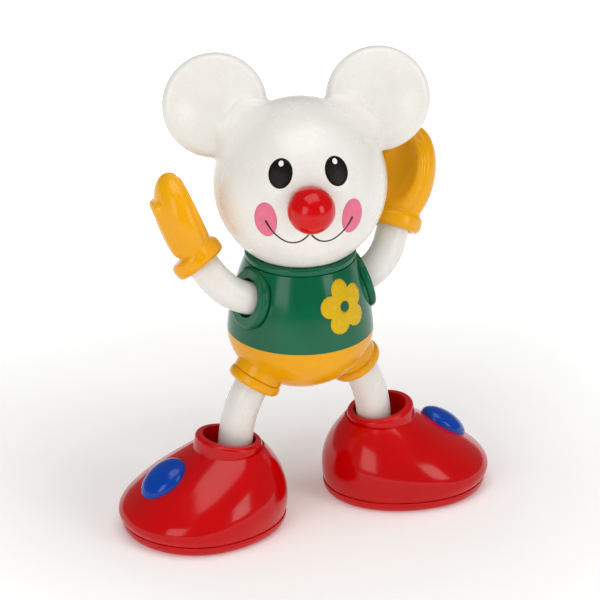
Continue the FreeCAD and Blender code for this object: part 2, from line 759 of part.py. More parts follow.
shoe_pieces = {
    "shoe_upper_": cut("shoe_upper", shell, throat, bore, button, *sole_pilots),
    "shoe_sole_": cut("shoe_sole", shaped("sole_form", sole_form), *sole_holes),
    "toe_button_": button,
    "sole_screws_": screw_group,
}
doc.recompute()
for side, place in ankle_frames.items():
    for label, piece in shoe_pieces.items():
        keep(shaped(label + side, piece.Shape, place), label + side)

# ---------------------------------------------------------------- spring movement
def on_arbor(across, height, depth, phase=0.0):
    """A placement on a front-to-back arbor: its own Z points back, its own X to the left."""
    return frame(Vector(across, depth, height), BACK).multiply(Placement(ORIGIN, Rotation(UP, phase)))


def bound_circle(sketch, edge, radius, across="0"):
    """A circle whose radius and distance from the origin follow the sheet."""
    sketch.addGeometry(Part.Circle(Vector(value(across), 0, 0), UP, value(radius)))
    for kind, formula in (("Radius", radius), ("DistanceX", across), ("DistanceY", "0")):
        if kind == "Radius":
            rule = Sketcher.Constraint(kind, edge, value(formula))
        else:
            rule = Sketcher.Constraint(kind, -1, 1, edge, 3, value(formula))
        sketch.setExpression(f"Constraints[{sketch.addConstraint(rule)}]", linked(formula))


def around(body, name, feature, count):
    """Repeat a feature of a body evenly about the body's own Z."""
    pattern = body.newObject("PartDesign::PolarPattern", name)
    pattern.Originals = [feature]
    z_axis = next(f for f in body.Origin.OriginFeatures if f.Role == "Z_Axis")
    pattern.Axis = (z_axis, [""])
    pattern.Angle = 360
    pattern.setExpression("Occurrences", linked(count))
    body.Tip = pattern


def toothed(name, disc, bore, tooth, count, thickness, at):
    """A disc with a bore, and one tooth outline repeated around it."""
    body = doc.addObject("PartDesign::Body", name)
    blank = new_sketch(body, name + "_disc", "XY_Plane")
    bound_circle(blank, 0, disc)
    bound_circle(blank, 1, bore)
    pad = body.newObject("PartDesign::Pad", name + "_pad")
    pad.Profile = blank
    pad.setExpression("Length", linked(thickness))
    outline = new_sketch(body, name + "_tooth", "XY_Plane")
    draw_outline(outline, tooth)
    tooth_pad = body.newObject("PartDesign::Pad", name + "_tooth_pad")
    tooth_pad.Profile = outline
    tooth_pad.setExpression("Length", linked(thickness))
    around(body, name + "_teeth", tooth_pad, count)
    body.Placement = at
    return body


def gear(name, teeth, bore, thickness, at):
    """A gear of the movement's module, with a tooth on its own X axis."""
    root = f"gear_module * ({teeth} - 2.3) / 2"
    tip = f"gear_module * ({teeth} + 1.8) / 2"
    tooth = [
        (root + " - 0.15", "-0.9 * gear_module"),
        (tip, "-0.26 * gear_module"),
        (tip, "0.26 * gear_module"),
        (root + " - 0.15", "0.9 * gear_module"),
    ]
    return toothed(name, root, bore, tooth, teeth, thickness, at)


def wheel(name, teeth, bore, at):
    """A brass wheel: a gear with a ring of round windows."""
    body = gear(name, teeth, bore, "wheel_thickness", at)
    window = new_sketch(body, name + "_window", "XY_Plane")
    bound_circle(window, 0, f"gear_module * {teeth} * 0.1", f"gear_module * {teeth} * 0.29")
    pocket = body.newObject("PartDesign::Pocket", name + "_port")
    pocket.Profile = window
    pocket.Type = "ThroughAll"
    pocket.Midplane = True
    around(body, name + "_ports", pocket, "5")
    return body


def bearing(start, finish):
    """Direction from one arbor to another, in degrees about +Y."""
    return -math.degrees(math.atan2(finish[1] - start[1], finish[0] - start[0]))


def arbor(name, spot, front, back, radius="arbor_radius"):
    return rod(name, on_arbor(*spot, front), radius, str(back - front))


pitch = value("gear_module") / 2
great_spot = (0.0, value("winding_height"))
second_spot = (0.0, great_spot[1] - pitch * value("great_teeth + second_pinion_teeth"))
third_spot = (pitch * value("second_teeth + third_pinion_teeth"), second_spot[1])
climb = math.radians(80)
reach = pitch * value("third_teeth + escape_pinion_teeth")
escape_spot = (third_spot[0] + reach * math.cos(climb), third_spot[1] + reach * math.sin(climb))
pallet_spot = (escape_spot[0] - 0.1, escape_spot[1] + 7.6)
pillar_spots = ((-11.8, 64.0), (-11.8, 88.5), (11.8, 88.5))
plate_back = value("plate_front + plate_thickness + plate_gap")
plate_rear = plate_back + value("plate_thickness")
second_layer, great_layer, third_layer = 6.6, 8.2, 9.5

for label, depth in (("motor_front_plate", value("plate_front")), ("motor_back_plate", plate_back)):
    corners = [
        ("-plate_half_width", "-plate_top"),
        ("plate_half_width", "-plate_top"),
        ("plate_half_width", "-plate_bottom"),
        ("-plate_half_width", "-plate_bottom"),
    ]
    blank = padded(label + "_blank", corners, "plate_thickness", on_arbor(0, 0, depth))
    holes = [
        rod(f"{label}_hole_{index}", on_arbor(*spot, depth - 1), "arbor_radius + fit", "3")
        for index, spot in enumerate((second_spot, third_spot, escape_spot, pallet_spot))
    ]
    key_hole = on_arbor(*great_spot, depth - 1)
    holes.append(rod(label + "_key_hole", key_hole, "winding_arbor_radius + fit", "3"))
    holes += [
        rod(f"{label}_rivet_{index}", on_arbor(*spot, depth - 1), "0.7", "3")
        for index, spot in enumerate(pillar_spots)
    ]
    if label == "motor_back_plate":
        holes += [
            rod("plate_mount_" + side, on_arbor(spot.x, spot.z, depth - 1), "screw_radius + fit", "3")
            for side, spot in mount_spots.items()
        ]
    keep(cut(label + "_cut", blank, *holes), label)

pillars = doc.addObject("Part::Compound", "pillar_group")
pillars.Links = [
    turned(
        f"pillar_{index}",
        [
            ("0", "-plate_thickness"),
            ("0.7", "-plate_thickness"),
            ("0.7", "0"),
            ("pillar_radius", "0"),
            ("pillar_radius", "plate_gap"),
            ("0.7", "plate_gap"),
            ("0.7", "plate_gap + plate_thickness"),
            ("0", "plate_gap + plate_thickness"),
        ],
        on_arbor(*spot, value("plate_front + plate_thickness")),
    )
    for index, spot in enumerate(pillar_spots)
]
keep(pillars, "plate_pillars")

# great wheel, free on the winding arbor, with the click that the ratchet wheel drives it through
great_at = on_arbor(*great_spot, great_layer, bearing(great_spot, second_spot))
great_blank = wheel("great_gear", "great_teeth", "winding_arbor_radius + fit", great_at)
between_windows = -18
click_plane = on_arbor(*great_spot, great_layer, between_windows)
click_post = shifted(click_plane, x=6.2)
keep(fuse("great_wheel_parts", great_blank, rod("click_post", click_post, "0.6", "2.3")), "great_wheel")
click_level = shifted(click_post, z=1.1)
click_arm = primitive(
    "Box",
    "click_arm",
    click_level.multiply(Placement(ORIGIN, Rotation(UP, 217))),
    Length="4.9",
    Width="0.8",
    Height="0.9",
)
click_blank = fuse("click_blank", rod("click_eye", click_level, "1.4", "0.9"), click_arm)
keep(cut("click_piece", click_blank, rod("click_bore", click_post, "0.6 + fit", "4")), "click")
leaf_at = shifted(click_plane, 2.6, -6.4, 1.0).multiply(Placement(ORIGIN, Rotation(UP, 28)))
keep(primitive("Box", "click_leaf", leaf_at, Length="5", Width="0.3", Height="0.9"), "click_spring")

keep(arbor("winding_rod", great_spot, 4.6, 31.0, "winding_arbor_radius"), "winding_arbor")
ratchet_tooth = [("1.8", "-1.0"), ("ratchet_radius", "0.3"), ("1.8", "0.6")]
ratchet_at = on_arbor(*great_spot, third_layer - 0.1)
ratchet_disc = ("ratchet_radius - 1", "winding_arbor_radius")
ratchet = toothed("ratchet", *ratchet_disc, ratchet_tooth, "ratchet_teeth", "0.9", ratchet_at)
keep(ratchet, "ratchet_wheel")

# the train: each arbor carries a wheel, and a pinion that the wheel before it drives
trains = (
    ("second", second_spot, second_layer, great_spot, third_spot, great_layer - 0.5, "1.9", 3.9),
    ("third", third_spot, third_layer, second_spot, escape_spot, second_layer - 0.2, "1.4", 5.0),
)
for label, spot, layer, driver, driven, pinion_layer, width, front in trains:
    at = on_arbor(*spot, layer, bearing(spot, driven))
    keep(wheel(label + "_gear", label + "_teeth", "arbor_radius", at), label + "_wheel")
    half_tooth = 180 / value(label + "_pinion_teeth")
    at = on_arbor(*spot, pinion_layer, bearing(spot, driver) + half_tooth)
    leaves = gear(label + "_leaves", label + "_pinion_teeth", "arbor_radius", width, at)
    spindle = arbor(label + "_rod", spot, front, plate_rear)
    keep(fuse(label + "_arbor_parts", spindle, leaves), label + "_arbor")
half_tooth = 180 / value("escape_pinion_teeth")
at = on_arbor(*escape_spot, third_layer - 0.25, bearing(escape_spot, third_spot) + half_tooth)
leaves = gear("escape_leaves", "escape_pinion_teeth", "arbor_radius", "1.5", at)
spindle = arbor("escape_rod", escape_spot, value("plate_front"), plate_rear)
keep(fuse("escape_arbor_parts", spindle, leaves), "escape_arbor")
escape_tooth = [("escape_radius - 1.6", "-0.9"), ("escape_radius", "0.35"), ("escape_radius - 1.6", "0.5")]
escape_at = on_arbor(*escape_spot, second_layer)
escape_disc = ("escape_radius - 1.3", "arbor_radius")
escape = toothed("escape", *escape_disc, escape_tooth, "escape_teeth", "0.9", escape_at)
keep(escape, "escape_wheel")

# rocking pallet: two nibs that straddle the escape wheel's teeth, drawn just clear of them
pallet_at = on_arbor(*pallet_spot, second_layer)
pallet_blank = padded(
    "pallet_blank",
    [
        ("-4.4", "0.5"),
        ("-1.3", "-1.3"),
        ("1.3", "-1.3"),
        ("4.4", "0.5"),
        ("4.4", "4.4"),
        ("3.5", "4.4"),
        ("0", "1.4"),
        ("-3.5", "4.4"),
        ("-4.4", "4.4"),
    ],
    "0.9",
    pallet_at,
)
pallet_rod = arbor("pallet_rod", pallet_spot, value("plate_front"), plate_rear, "0.8")
keep(fuse("pallet_parts", pallet_blank, pallet_rod), "pallet")

# crank on the second arbor's front end, below the neck lever's slot
crank_at = on_arbor(*second_spot, value("plate_front") - 1.1)
crank_disc = ring("crank_disc", crank_at, "crank_radius", "arbor_radius", "0.9")
crank_pin = rod("crank_pin", shifted(crank_at, value("crank_throw + 0.4"), 0, -0.5), "0.4", "1")
keep(fuse("crank_parts", crank_disc, crank_pin), "crank")


def spiral_strip():
    """The mainspring's coil: growing half turns about two centres in turn."""
    inner, outer = value("winding_arbor_radius") + 1.0, value("spring_radius")
    half_turns = 2 * int(value("spring_turns"))
    growth = (outer - inner) / half_turns
    edges = []
    ends = []
    for offset in (-value("spring_strip") / 2, value("spring_strip") / 2):
        for index in range(half_turns):
            radius = inner + growth * (index + 0.5) + offset
            odd = index % 2
            centre = Vector((odd - 0.5) * growth, 0, 0)
            edges.append(Part.makeCircle(radius, centre, UP, 180 * odd, 180 * odd + 180))
            if index in (0, half_turns - 1):
                ends.append(centre + Vector(radius, 0, 0))
    edges.append(Part.makeLine(ends[0], ends[2]))
    edges.append(Part.makeLine(ends[1], ends[3]))
    return Part.Face(Part.Wire(Part.__sortEdges__(edges))).extrude(UP * value("spring_width"))


keep(shaped("spring_coil", spiral_strip(), on_arbor(*great_spot, 10.9)), "mainspring")

# ---------------------------------------------------------------- key and screws
key_foot = 29.6
key_mid = value("key_reach - key_loop_radius")
key_at = frame(Vector(0, key_mid, value("winding_height")), Vector(1, 0, 0), BACK)
loops = []
for index, hand in enumerate(SIDES.values()):
    middle = shifted(key_at, y=hand * value("key_loop_radius + 0.5"), z=-value("key_thickness / 2"))
    loop = rod(f"key_loop_{index}", middle, "key_loop_radius", "key_thickness")
    eye = rod(f"key_eye_{index}", middle, "key_loop_radius - 2", "key_thickness")
    loops.append(cut(f"key_wing_{index}", loop, eye))
key_hub = rod("key_hub", on_arbor(*great_spot, key_foot), "2.6", "key_reach - key_loop_radius - 28.4")
key_socket = rod("key_socket", on_arbor(*great_spot, 20), "winding_arbor_radius", "11")
keep(cut("key", fuse("key_blank", key_hub, *loops), key_socket), "winding_key")

shirt_group = doc.addObject("Part::Compound", "shirt_screw_group")
shirt_group.Links = [
    screw("shirt_screw_" + side, frame(Vector(spot.x, 10, spot.z), -BACK), "18")
    for side, spot in boss_spots.items()
]
keep(shirt_group, "shirt_screws")
mount_group = doc.addObject("Part::Compound", "mount_screw_group")
mount_group.Links = [
    screw("mount_screw_" + side, frame(Vector(spot.x, plate_rear + 3, spot.z), -BACK), "5")
    for side, spot in mount_spots.items()
]
keep(mount_group, "motor_screws")


# ---------------------------------------------------------------- checks and files
doc.recompute()
faults = [obj.Name for obj in doc.Objects if "Invalid" in obj.State or "Error" in obj.State]
if faults:
    raise RuntimeError("these objects failed: " + ", ".join(faults))
for label, obj in nodes.items():
    if obj.Shape.isNull() or not obj.Shape.isValid() or not obj.Shape.Solids:
        raise RuntimeError(label + " is not a valid solid")
os.makedirs("parts", exist_ok=True)
for label, obj in nodes.items():
    obj.Shape.exportStep("parts/" + label + ".step")
print(len(nodes), "pieces written")
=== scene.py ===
"""Clockwork mouse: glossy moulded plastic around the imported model, in metres."""
import itertools
import json
import math

import bpy
import numpy as np
from mathutils import Matrix, Vector


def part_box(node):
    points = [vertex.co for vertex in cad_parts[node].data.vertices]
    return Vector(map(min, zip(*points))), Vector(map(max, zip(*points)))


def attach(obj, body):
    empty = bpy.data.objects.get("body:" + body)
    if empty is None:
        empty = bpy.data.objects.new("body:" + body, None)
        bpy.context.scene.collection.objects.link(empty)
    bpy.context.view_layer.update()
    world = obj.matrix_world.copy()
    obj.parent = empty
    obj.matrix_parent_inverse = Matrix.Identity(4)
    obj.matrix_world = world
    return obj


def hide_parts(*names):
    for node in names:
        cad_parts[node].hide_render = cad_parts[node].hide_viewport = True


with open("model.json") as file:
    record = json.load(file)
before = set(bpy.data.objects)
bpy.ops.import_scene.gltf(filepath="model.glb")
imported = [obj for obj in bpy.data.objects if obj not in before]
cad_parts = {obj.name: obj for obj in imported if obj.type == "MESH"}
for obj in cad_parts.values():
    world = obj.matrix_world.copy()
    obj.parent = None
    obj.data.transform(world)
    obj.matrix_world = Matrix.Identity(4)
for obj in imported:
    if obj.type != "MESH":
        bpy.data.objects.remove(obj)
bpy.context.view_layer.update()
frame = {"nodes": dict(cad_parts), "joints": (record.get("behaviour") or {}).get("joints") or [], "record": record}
nodes = frame["nodes"]
MM = 0.001  # distance fields and sizes below are in millimetres, the scene is in metres
SIDES = {"left": 1, "right": -1}  # the toy's own left is at +X


# ---------------------------------------------------------------- solids from distance fields
def length(p):
    return np.sqrt((p * p).sum(-1))


def blend_of(a, b, k):
    """Union of two fields with a fillet of about radius k."""
    h = np.maximum(k - np.abs(a - b), 0) / k
    return np.minimum(a, b) - h * h * k / 4


def without(a, b, k):
    """Field a with field b taken away, the edge rounded by about k."""
    return -blend_of(-a, b, k)


def both(a, b, k):
    """The part of field a inside field b, the edge rounded by about k."""
    return -blend_of(-a, -b, k)


def ellipsoid(p, radii):
    """An ellipsoid about the origin: close to a true distance near its skin."""
    radii = np.array(radii, float)
    inner = length(p / radii)
    return inner * (inner - 1) / np.maximum(length(p / radii ** 2), 1e-6)


def disc(p, radius, half):
    """A round plate about local Z, its rim fully rounded."""
    across = np.maximum(np.hypot(p[..., 0], p[..., 1]) - radius + half, 0)
    return np.hypot(across, p[..., 2]) - half


def ring_field(p, radius, half_width, half_height, rounding):
    """A hoop about local Z with a rounded rectangular section."""
    across = np.abs(np.hypot(p[..., 0], p[..., 1]) - radius) - half_width + rounding
    tall = np.abs(p[..., 2]) - half_height + rounding
    outside = np.hypot(np.maximum(across, 0), np.maximum(tall, 0))
    return outside + np.minimum(np.maximum(across, tall), 0) - rounding


def capsule(p, start, finish, radius):
    """A round-ended rod between two points."""
    along = finish - start
    share = np.clip(((p - start) @ along) / (along @ along), 0, 1)
    return length(p - start - share[..., None] * along) - radius


def local(p, place):
    """Points in a placement's own coordinates."""
    turn = np.array(place.to_3x3())
    return (p - np.array(place.translation)) @ turn


def slope(field, p):
    """The field's gradient, from differences over a small step in millimetres."""
    step = 0.02
    return np.stack(
        [(field(p + step * axis) - field(p - step * axis)) / (2 * step) for axis in np.eye(3)], -1
    )


def on_surface(field, p, rounds=4):
    """Points moved along the gradient on to the field's zero surface."""
    for _ in range(rounds):
        grad = slope(field, p)
        p = p - grad * (field(p) / np.maximum((grad * grad).sum(-1), 0.05))[:, None]
    return p


def sculpt(name, field, low, high, step, mat):
    """A quad mesh on a field's zero surface. Field and limits are in millimetres."""
    axes = [np.arange(low[i], high[i] + step, step) for i in range(3)]
    grid = np.stack(np.meshgrid(*axes, indexing="ij"), -1)
    values = np.concatenate([field(slab) for slab in np.array_split(grid, 12)])
    inside = values < 0
    shape = np.array(inside.shape)
    count = np.zeros(shape - 1, int)
    for i, j, k in itertools.product((0, 1), repeat=3):
        count += inside[i:shape[0] - 1 + i, j:shape[1] - 1 + j, k:shape[2] - 1 + k]
    active = (count > 0) & (count < 8)
    index = np.full(active.shape, -1)
    index[active] = np.arange(active.sum())
    points = grid[:-1, :-1, :-1][active] + step / 2
    quads = []
    for axis in range(3):
        u, v = (axis + 1) % 3, (axis + 2) % 3
        here = np.moveaxis(inside, (axis, u, v), (0, 1, 2))
        cells = np.moveaxis(index, (axis, u, v), (0, 1, 2))
        change = here[:-1, 1:-1, 1:-1] != here[1:, 1:-1, 1:-1]
        ring = np.stack(
            [cells[:, :-1, :-1], cells[:, 1:, :-1], cells[:, 1:, 1:], cells[:, :-1, 1:]], -1
        )
        found = ring[change]
        outward = here[:-1, 1:-1, 1:-1][change]
        found[~outward] = found[~outward][:, ::-1]
        quads.append(found)
    quads = np.concatenate(quads)
    points = on_surface(field, points)
    for _ in range(2):
        total = np.zeros_like(points)
        seen = np.zeros(len(points))
        for corner in range(4):
            for neighbour in (corner - 1, (corner + 1) % 4):
                np.add.at(total, quads[:, corner], points[quads[:, neighbour]])
                np.add.at(seen, quads[:, corner], 1)
        points = on_surface(field, total / seen[:, None], 2)
    return mesh_piece(name, points, quads.tolist(), mat)


def mesh_piece(name, points, faces, mat):
    """A smooth-shaded object from points in millimetres."""
    mesh = bpy.data.meshes.new(name)
    mesh.from_pydata((np.asarray(points) * MM).tolist(), [], faces)
    mesh.validate()
    mesh.shade_smooth()
    obj = bpy.data.objects.new(name, mesh)
    bpy.context.scene.collection.objects.link(obj)
    mesh.materials.append(mat)
    return obj


# ---------------------------------------------------------------- materials
def node_material(name):
    """An empty material with its node tree, its shader and the object coordinates."""
    mat = bpy.data.materials.new(name)
    mat.use_nodes = True
    tree = mat.node_tree
    tree.nodes.clear()
    out = tree.nodes.new("ShaderNodeOutputMaterial")
    shader = tree.nodes.new("ShaderNodeBsdfPrincipled")
    tree.links.new(shader.outputs[0], out.inputs[0])
    where = tree.nodes.new("ShaderNodeTexCoord")
    return mat, tree, shader, where.outputs["Object"]


def noise(tree, where, size_mm, detail=3.0, rough=0.55):
    """Noise whose features are about size_mm across."""
    tex = tree.nodes.new("ShaderNodeTexNoise")
    tex.inputs["Scale"].default_value = 1 / (size_mm * MM)
    tex.inputs["Detail"].default_value = detail
    tex.inputs["Roughness"].default_value = rough
    tree.links.new(where, tex.inputs["Vector"])
    return tex.outputs[0]


def remap(tree, source, low, high, start=0.3, stop=0.7):
    """The source's span from start to stop, spread over low to high."""
    node = tree.nodes.new("ShaderNodeMapRange")
    for key, number in zip(("From Min", "From Max", "To Min", "To Max"), (start, stop, low, high)):
        node.inputs[key].default_value = number
    tree.links.new(source, node.inputs["Value"])
    return node.outputs[0]


def mixed(tree, share, first, second):
    """Two colours, or colour sockets, mixed by share."""
    node = tree.nodes.new("ShaderNodeMix")
    node.data_type = "RGBA"
    for socket, item in ((node.inputs[6], first), (node.inputs[7], second)):
        if isinstance(item, tuple):
            socket.default_value = (*item, 1)
        else:
            tree.links.new(item, socket)
    tree.links.new(share, node.inputs[0])
    return node.outputs[2]


def bumped(tree, shader, *layers):
    """Stack bump layers (height source, strength, depth in mm)."""
    normal = None
    for source, strength, depth in layers:
        node = tree.nodes.new("ShaderNodeBump")
        node.inputs["Strength"].default_value = strength
        node.inputs["Distance"].default_value = depth * MM
        tree.links.new(source, node.inputs["Height"])
        if normal:
            tree.links.new(normal, node.inputs["Normal"])
        normal = node.outputs[0]
    tree.links.new(normal, shader.inputs["Normal"])


def linear(text):
    """A hex colour in linear light."""
    parts = [int(text[i:i + 2], 16) / 255 for i in (0, 2, 4)]
    return tuple(c / 12.92 if c < 0.04045 else ((c + 0.055) / 1.055) ** 2.4 for c in parts)


def plastic(name, colour, deep, gloss=0.2, glow=0.0, coat=0.08, shine=0.25):
    """Moulded plastic: flow marks in its colour, smears in its gloss, orange peel in its skin."""
    mat, tree, shader, where = node_material(name)
    flow = remap(tree, noise(tree, where, 26, 4), 0, 1)
    grain = remap(tree, noise(tree, where, 0.7, 2), 0, 1, 0.25, 0.75)
    base = mixed(tree, flow, linear(colour), linear(deep))
    speck = tree.nodes.new("ShaderNodeHueSaturation")
    tree.links.new(base, speck.inputs["Color"])
    tree.links.new(remap(tree, grain, 0.97, 1.03, 0, 1), speck.inputs["Value"])
    tree.links.new(speck.outputs[0], shader.inputs["Base Color"])
    smear = remap(tree, noise(tree, where, 9, 6, 0.65), gloss - 0.04, gloss + 0.07)
    tree.links.new(smear, shader.inputs["Roughness"])
    shader.inputs["Specular IOR Level"].default_value = shine
    shader.inputs["Coat Weight"].default_value = coat
    shader.inputs["Coat Roughness"].default_value = 0.06
    if glow:
        shader.inputs["Subsurface Weight"].default_value = glow
        shader.inputs["Subsurface Radius"].default_value = (1.0, 0.8, 0.6)
        shader.inputs["Subsurface Scale"].default_value = 1.6 * MM
    bumped(
        tree,
        shader,
        (noise(tree, where, 5, 2), 0.10, 0.10),
        (noise(tree, where, 0.6, 2), 0.05, 0.03),
    )
    return mat


def metal(name, colour, deep, rough, streak):
    """Rolled or turned metal: fine streaks, dull patches and small pits."""
    mat, tree, shader, where = node_material(name)
    stretch = tree.nodes.new("ShaderNodeMapping")
    stretch.inputs["Scale"].default_value = streak
    tree.links.new(where, stretch.inputs["Vector"])
    lines = noise(tree, stretch.outputs[0], 0.5, 4)
    patches = noise(tree, where, 6, 4)
    base = mixed(tree, remap(tree, patches, 0, 1), linear(colour), linear(deep))
    tree.links.new(base, shader.inputs["Base Color"])
    shader.inputs["Metallic"].default_value = 1
    tree.links.new(remap(tree, patches, rough - 0.05, rough + 0.12), shader.inputs["Roughness"])
    bumped(tree, shader, (lines, 0.15, 0.03), (noise(tree, where, 0.9, 3), 0.06, 0.02))
    return mat


def ink(name, colour, deep, gloss=0.28):
    """Printed ink: an even film, slightly mottled in colour and gloss."""
    mat, tree, shader, where = node_material(name)
    mottle = noise(tree, where, 1.4, 4)
    base = mixed(tree, remap(tree, mottle, 0, 1), linear(colour), linear(deep))
    tree.links.new(base, shader.inputs["Base Color"])
    sheen = remap(tree, noise(tree, where, 4, 4), gloss - 0.06, gloss + 0.08)
    tree.links.new(sheen, shader.inputs["Roughness"])
    shader.inputs["Specular IOR Level"].default_value = 0.12
    bumped(tree, shader, (mottle, 0.08, 0.02))
    return mat


WHITE = plastic("white_plastic", "F0EEE8", "E8E5DD", 0.24, glow=0.12, shine=0.4)
GREEN = plastic("green_plastic", "006A46", "005C3A", 0.16)
YELLOW = plastic("yellow_plastic", "F4AE00", "ECA200", 0.22, glow=0.05)
RED = plastic("red_plastic", "D60005", "C60004", 0.14)
BLUE = plastic("blue_plastic", "0048B4", "003EA4", 0.15)
GREY = plastic("grey_plastic", "A8A8A6", "989896", 0.4, coat=0.0)
BRASS = metal("brass", "D8B060", "C09848", 0.25, (1, 1, 12))
STEEL = metal("steel", "C4C4C8", "A8A8B0", 0.3, (1, 12, 1))
CHROME = metal("chrome", "E8E8EC", "D8D8E0", 0.1, (1, 6, 1))
BLACK_INK = ink("black_ink", "0E0B09", "16120F", 0.3)
WHITE_INK = ink("white_ink", "F4F4F2", "E8E8E8")
PINK_INK = ink("pink_ink", "EA7E96", "E4728C")
BROWN_INK = ink("brown_ink", "3E2E26", "48382E")
FLOWER_INK = ink("flower_ink", "D9AE08", "E4BC20")

LOOKS = {
    "shirt_green": GREEN, "shorts_yellow": YELLOW, "body_white": WHITE, "shoe_red": RED,
    "button_blue": BLUE, "inner_grey": GREY, "wheel_brass": BRASS, "works_steel": STEEL,
    "key_chrome": CHROME,
}
for part in frame["record"]["subparts"]:
    mesh = nodes[part["node"]].data
    mesh.materials.clear()
    mesh.materials.append(LOOKS[part["material_slot"]])


# ---------------------------------------------------------------- head
HEAD_RADIUS, HEAD_HEIGHT = 32.25, 130.6
HEAD_TURN = math.radians(-18.5)
HEAD_STEP = 1.0  # grid step of the sculpted head
head_place = Matrix.Translation((0, 0, HEAD_HEIGHT)) @ Matrix.Rotation(HEAD_TURN, 4, "Z")
EAR_MIDDLE = (30.4, 13.0, 27.0)
EAR_RADIUS, EAR_HALF, EAR_LEAN = 19.6, 3.6, math.radians(17)
DISH_RADIUS, DISH_SET, DISH_OUT = 26.0, 22.0, 1.5  # the ball that hollows an ear's face
NOSE_SEAT, NOSE_SEAT_RADIUS = np.array([0, -35.5, 4.0]), 8.85


def facing(middle, along, across):
    """A placement at middle, its Z along one direction and its X towards another."""
    z = Vector(along).normalized()
    x = (Vector(across) - z * z.dot(Vector(across))).normalized()
    turn = Matrix((x, z.cross(x), z)).transposed().to_4x4()
    return Matrix.Translation(middle) @ turn


ear_places = []
for sign in SIDES.values():
    middle = Vector((sign * EAR_MIDDLE[0], EAR_MIDDLE[1], EAR_MIDDLE[2]))
    forward = (0, -math.cos(EAR_LEAN), math.sin(EAR_LEAN))
    ear_places.append(head_place @ facing(middle, forward, (sign * 0.75, 0, 0.66)))


def head_field(p):
    here = local(p, head_place)
    out = length(here) - HEAD_RADIUS
    for place in ear_places:
        q = local(p, place)
        ear = disc(q, EAR_RADIUS, EAR_HALF)
        hollow = length(q - np.array([DISH_OUT, 0, EAR_HALF + DISH_SET])) - DISH_RADIUS
        ear = without(ear, hollow, 3.0)
        # the fillet to the skull is wide in the middle of the ear's front and tight elsewhere
        forward_share = np.clip((q[..., 2] + 1.5) / 4.5, 0, 1)
        front = forward_share * np.clip((14.5 - np.abs(q[..., 1])) / 9, 0, 1)
        out = blend_of(out, ear, 1.8 + 9.5 * front * front * (3 - 2 * front))
    return without(out, length(here - NOSE_SEAT) - NOSE_SEAT_RADIUS, 0.4)


head = sculpt("head_shell", head_field, (-58, -40, 95), (58, 40, 181), HEAD_STEP, WHITE)
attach(head, "head")
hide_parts("head_front_shell", "head_back_shell")


# ---------------------------------------------------------------- prints
def on_head_surface(u, v, lift, azimuth, height):
    """A point on the skull: u and v millimetres from a direction, lift above the skin."""
    a, e = math.radians(azimuth), math.radians(height)
    out = Vector((math.sin(a) * math.cos(e), -math.cos(a) * math.cos(e), math.sin(e)))
    right = Vector((math.cos(a), math.sin(a), 0))
    up = out.cross(right) * -1
    way = (out * HEAD_RADIUS + right * u + up * v).normalized()
    return head_place @ (way * (HEAD_RADIUS + lift))


# the shirt's outline is an arc between two points (radius, height)
SHIRT_FOOT, SHIRT_TOP, SHIRT_BULGE = Vector((27.4, 72.7)), Vector((20.8, 101.2)), 95.0
SUNK = -0.25  # how far the edge of a print dips under the skin


def on_shirt_surface(u, v, lift, azimuth, height):
    """A point on the shirt: u round and v up from a direction, lift above the skin."""
    chord = SHIRT_TOP - SHIRT_FOOT
    inward = Vector((-chord.y, chord.x)).normalized()
    sag = math.sqrt(SHIRT_BULGE ** 2 - (chord.length / 2) ** 2)
    centre = (SHIRT_TOP + SHIRT_FOOT) / 2 + inward * sag
    z = height + v
    radius = centre.x + math.sqrt(SHIRT_BULGE ** 2 - (z - centre.y) ** 2) + lift
    middle = centre.x + math.sqrt(SHIRT_BULGE ** 2 - (height - centre.y) ** 2)
    a = math.radians(azimuth) + u / middle
    return Vector((radius * math.sin(a), -radius * math.cos(a), z))


def print_patch(
    name, surface, outline, body, slot, mat, hole=0.0, lift=0.09, rings=8, around=96, **spot
):
    """A thin film on a surface. outline gives its radius at an angle; it is sunk at its edge."""
    points = []
    for ring in range(rings + 1):
        share = ring / rings
        for step in range(around):
            angle = 2 * math.pi * step / around
            edge = outline(angle)
            reach = hole + (edge - hole) * share
            near = min(edge - reach, reach - hole if hole else 9.0)
            height = lift * (1 - math.exp(-(near + 0.02) / 0.12))
            points.append(surface(reach * math.cos(angle), reach * math.sin(angle), height, **spot))
    for step in range(around):
        angle = 2 * math.pi * step / around
        edge = outline(angle)
        points.append(surface(edge * math.cos(angle), edge * math.sin(angle), SUNK, **spot))
    faces = []
    for ring in range(rings + 1):
        for step in range(around):
            after = (step + 1) % around
            low, high = ring * around, (ring + 1) * around
            faces.append((low + step, high + step, high + after, low + after))
    if hole:
        start = len(points)
        for step in range(around):
            angle = 2 * math.pi * step / around
            points.append(surface(hole * math.cos(angle), hole * math.sin(angle), SUNK, **spot))
        for step in range(around):
            after = (step + 1) % around
            faces.append((start + step, step, after, start + after))
        low = (rings + 1) * around
        for step in range(around):
            after = (step + 1) % around
            faces.append((low + step, start + step, start + after, low + after))
    piece = mesh_piece(name, [tuple(p) for p in points], faces, mat)
    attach(piece, body)


def oval(half_width, half_height):
    def outline(angle):
        return 1 / math.hypot(math.cos(angle) / half_width, math.sin(angle) / half_height)
    return outline


